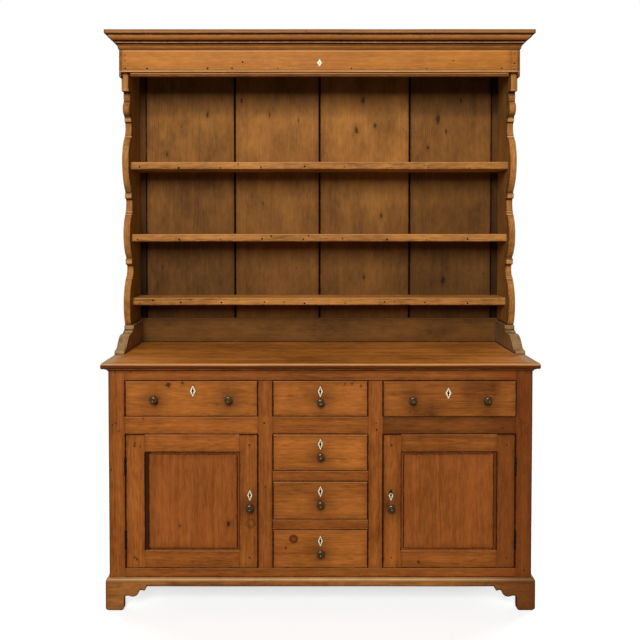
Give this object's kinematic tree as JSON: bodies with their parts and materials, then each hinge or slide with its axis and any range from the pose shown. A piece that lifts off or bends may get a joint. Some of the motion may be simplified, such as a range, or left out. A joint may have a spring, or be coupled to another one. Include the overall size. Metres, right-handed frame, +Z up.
{
  "type": "welsh dresser",
  "caption": "Old pine dresser: an open plate rack with shaped sides and a moulded cornice over a base of drawers and two panelled cupboards on bracket feet.",
  "frame": {"origin": "middle of the footprint on the floor, with the knobs and the cornice counted in the footprint", "axes": "+Z up, the front faces -Y, +X to the right of someone facing the front"},
  "size_m": [1.65, 0.495, 2.121],
  "materials": {
    "pine_cornice": "waxed old pine",
    "pine_rack": "waxed old pine",
    "pine_back": "waxed old pine",
    "pine_worktop": "waxed old pine",
    "pine_base": "waxed old pine",
    "pine_drawer": "waxed old pine",
    "pine_panel": "waxed old pine",
    "pine_inside": "waxed old pine",
    "knob_bronze": "dark worn bronze",
    "hinge_iron": "blackened",
    "bone": "polished bone"
  },
  "bodies": {
    "dresser": {"base_side_left": "pine_base", "base_side_right": "pine_base", "stile_left": "pine_base", "stile_right": "pine_base", "muntin_left": "pine_base", "muntin_right": "pine_base", "waist_rail_left": "pine_base", "waist_rail_centre": "pine_base", "waist_rail_right": "pine_base", "top_rail": "pine_base", "bottom_rail": "pine_base", "drawer_rail_1": "pine_base", "drawer_rail_2": "pine_base", "worktop_moulding": "pine_base", "plinth_front": "pine_base", "plinth_left": "pine_base", "plinth_right": "pine_base", "base_back_boards": "pine_inside", "base_bottom_board": "pine_inside", "partition_left": "pine_inside", "partition_right": "pine_inside", "worktop": "pine_worktop", "rack_side_left": "pine_rack", "rack_side_right": "pine_rack", "shelf_top": "pine_rack", "shelf_middle": "pine_rack", "shelf_bottom": "pine_rack", "rack_back_boards": "pine_back", "rack_back_rail": "pine_back", "frieze_board": "pine_cornice", "cornice": "pine_cornice", "frieze_key_plate": "bone", "hinge_left_upper_fixed": "hinge_iron", "hinge_left_lower_fixed": "hinge_iron", "hinge_right_upper_fixed": "hinge_iron", "hinge_right_lower_fixed": "hinge_iron"},
    "drawer_left": {"drawer_left": "pine_drawer", "knob_drawer_left_1": "knob_bronze", "knob_drawer_left_2": "knob_bronze"},
    "drawer_right": {"drawer_right": "pine_drawer", "knob_drawer_right_1": "knob_bronze", "knob_drawer_right_2": "knob_bronze"},
    "drawer_centre_1": {"drawer_centre_1": "pine_drawer", "knob_drawer_centre_1": "knob_bronze"},
    "drawer_centre_2": {"drawer_centre_2": "pine_drawer", "knob_drawer_centre_2": "knob_bronze"},
    "drawer_centre_3": {"drawer_centre_3": "pine_drawer", "knob_drawer_centre_3": "knob_bronze"},
    "drawer_centre_4": {"drawer_centre_4": "pine_drawer", "knob_drawer_centre_4": "knob_bronze"},
    "door_left": {"door_frame_left": "pine_base", "door_panel_left": "pine_panel", "knob_door_left": "knob_bronze", "hinge_left_upper_turning": "hinge_iron", "hinge_left_lower_turning": "hinge_iron"},
    "door_right": {"door_frame_right": "pine_base", "door_panel_right": "pine_panel", "knob_door_right": "knob_bronze", "hinge_right_upper_turning": "hinge_iron", "hinge_right_lower_turning": "hinge_iron"}
  },
  "joints": [
    {"name": "drawer_left_slide", "type": "slide", "parent": "dresser", "child": "drawer_left", "axis": [0, -1, 0], "range_m": [0, 0.3]},
    {"name": "drawer_right_slide", "type": "slide", "parent": "dresser", "child": "drawer_right", "axis": [0, -1, 0], "range_m": [-0.006, 0.294]},
    {"name": "drawer_centre_1_slide", "type": "slide", "parent": "dresser", "child": "drawer_centre_1", "axis": [0, -1, 0], "range_m": [0, 0.3]},
    {"name": "drawer_centre_2_slide", "type": "slide", "parent": "dresser", "child": "drawer_centre_2", "axis": [0, -1, 0], "range_m": [0, 0.3]},
    {"name": "drawer_centre_3_slide", "type": "slide", "parent": "dresser", "child": "drawer_centre_3", "axis": [0, -1, 0], "range_m": [0, 0.3]},
    {"name": "drawer_centre_4_slide", "type": "slide", "parent": "dresser", "child": "drawer_centre_4", "axis": [0, -1, 0], "range_m": [0, 0.3]},
    {"name": "door_left_hinge", "type": "hinge", "parent": "dresser", "child": "door_left", "pos_m": [-0.694, -0.2197, 0.386], "axis": [0, 0, -1], "range_deg": [0, 170]},
    {"name": "door_right_hinge", "type": "hinge", "parent": "dresser", "child": "door_right", "pos_m": [0.694, -0.2197, 0.386], "axis": [0, 0, 1], "range_deg": [0, 170]}
  ]
}
